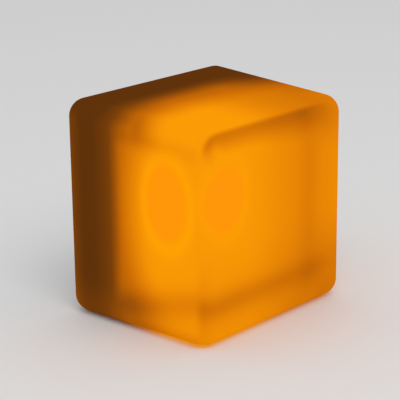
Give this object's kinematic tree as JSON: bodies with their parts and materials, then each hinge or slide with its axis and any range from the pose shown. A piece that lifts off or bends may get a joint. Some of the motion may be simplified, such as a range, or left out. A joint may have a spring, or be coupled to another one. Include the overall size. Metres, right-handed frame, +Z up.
{
  "type": "cube light",
  "caption": "Round-edged milky light cube with drafted sides, a sealed battery base, a sprung power button and a covered charging socket",
  "frame": {"origin": "middle of the lamp's footprint, on the surface it stands on", "axes": "+Z up as it stands on its plain side, +Y out of the base at the back, +X across its width"},
  "size_m": [0.1018, 0.0838, 0.1005],
  "materials": {
    "milky_shade": "frosted, lit from inside",
    "dark_plastic": "fine spark texture",
    "button_plastic": "satin",
    "soft_black": "matt silicone",
    "grey_silicone": "matt silicone",
    "brass": "turned",
    "zinc_steel": "zinc plated",
    "switch_plastic": "moulded",
    "stem_plastic": "moulded",
    "jack_plastic": "moulded",
    "tinned_contact": "tin plated",
    "clear_pipe": "clear, polished ends",
    "status_light": "moulded",
    "green_board": "solder mask",
    "chip_black": "moulded",
    "capacitor_can": "drawn can",
    "connector_white": "moulded nylon",
    "wire_insulation": "satin",
    "cell_can": "nickel plated",
    "nickel_strip": "rolled",
    "shrink_sleeve": "shrunk film",
    "foam": "closed cell",
    "white_board": "white solder mask",
    "light_package": "moulded",
    "receiver_plastic": "dark lens",
    "reflector_white": "moulded",
    "frosted_dome": "frosted"
  },
  "bodies": {
    "lamp": {"shade": "milky_shade", "threaded_inserts": "brass", "cover_gasket": "grey_silicone", "base_cover": "dark_plastic", "cover_screws": "zinc_steel", "base_tub": "dark_plastic", "tub_gasket": "grey_silicone", "tub_screws": "zinc_steel", "rubber_feet": "soft_black", "button_seal": "grey_silicone", "switch_body": "switch_plastic", "charging_jack": "jack_plastic", "jack_contacts": "tinned_contact", "flap_anchor": "soft_black", "status_light_pipe": "clear_pipe", "status_led": "status_light", "control_board": "green_board", "board_screws": "zinc_steel", "control_chips": "chip_black", "capacitors": "capacitor_can", "board_headers": "connector_white", "wire_plugs": "connector_white", "led_wires": "wire_insulation", "battery_wires": "wire_insulation", "battery_cells": "cell_can", "battery_tabs": "nickel_strip", "battery_protection_board": "green_board", "battery_sleeve": "shrink_sleeve", "battery_pad": "foam", "led_board": "white_board", "led_packages": "light_package", "remote_receiver": "receiver_plastic", "reflector": "reflector_white", "light_dome": "frosted_dome", "dome_screws": "zinc_steel"},
    "power_button": {"button_cap": "button_plastic", "switch_stem": "stem_plastic"},
    "jack_flap": {"jack_flap": "soft_black"}
  },
  "joints": [
    {"name": "power_button_press", "type": "slide", "parent": "lamp", "child": "power_button", "axis": [0, -1, 0], "range_m": [0, 0.0006], "stiffness_N_per_m": 2600},
    {"name": "jack_flap_hinge", "type": "hinge", "parent": "lamp", "child": "jack_flap", "pos_m": [-0.014, 0.03975, 0.0585], "axis": [1, 0, 0], "range_deg": [0, 110], "stiffness_Nm_per_rad": 0.0007}
  ]
}
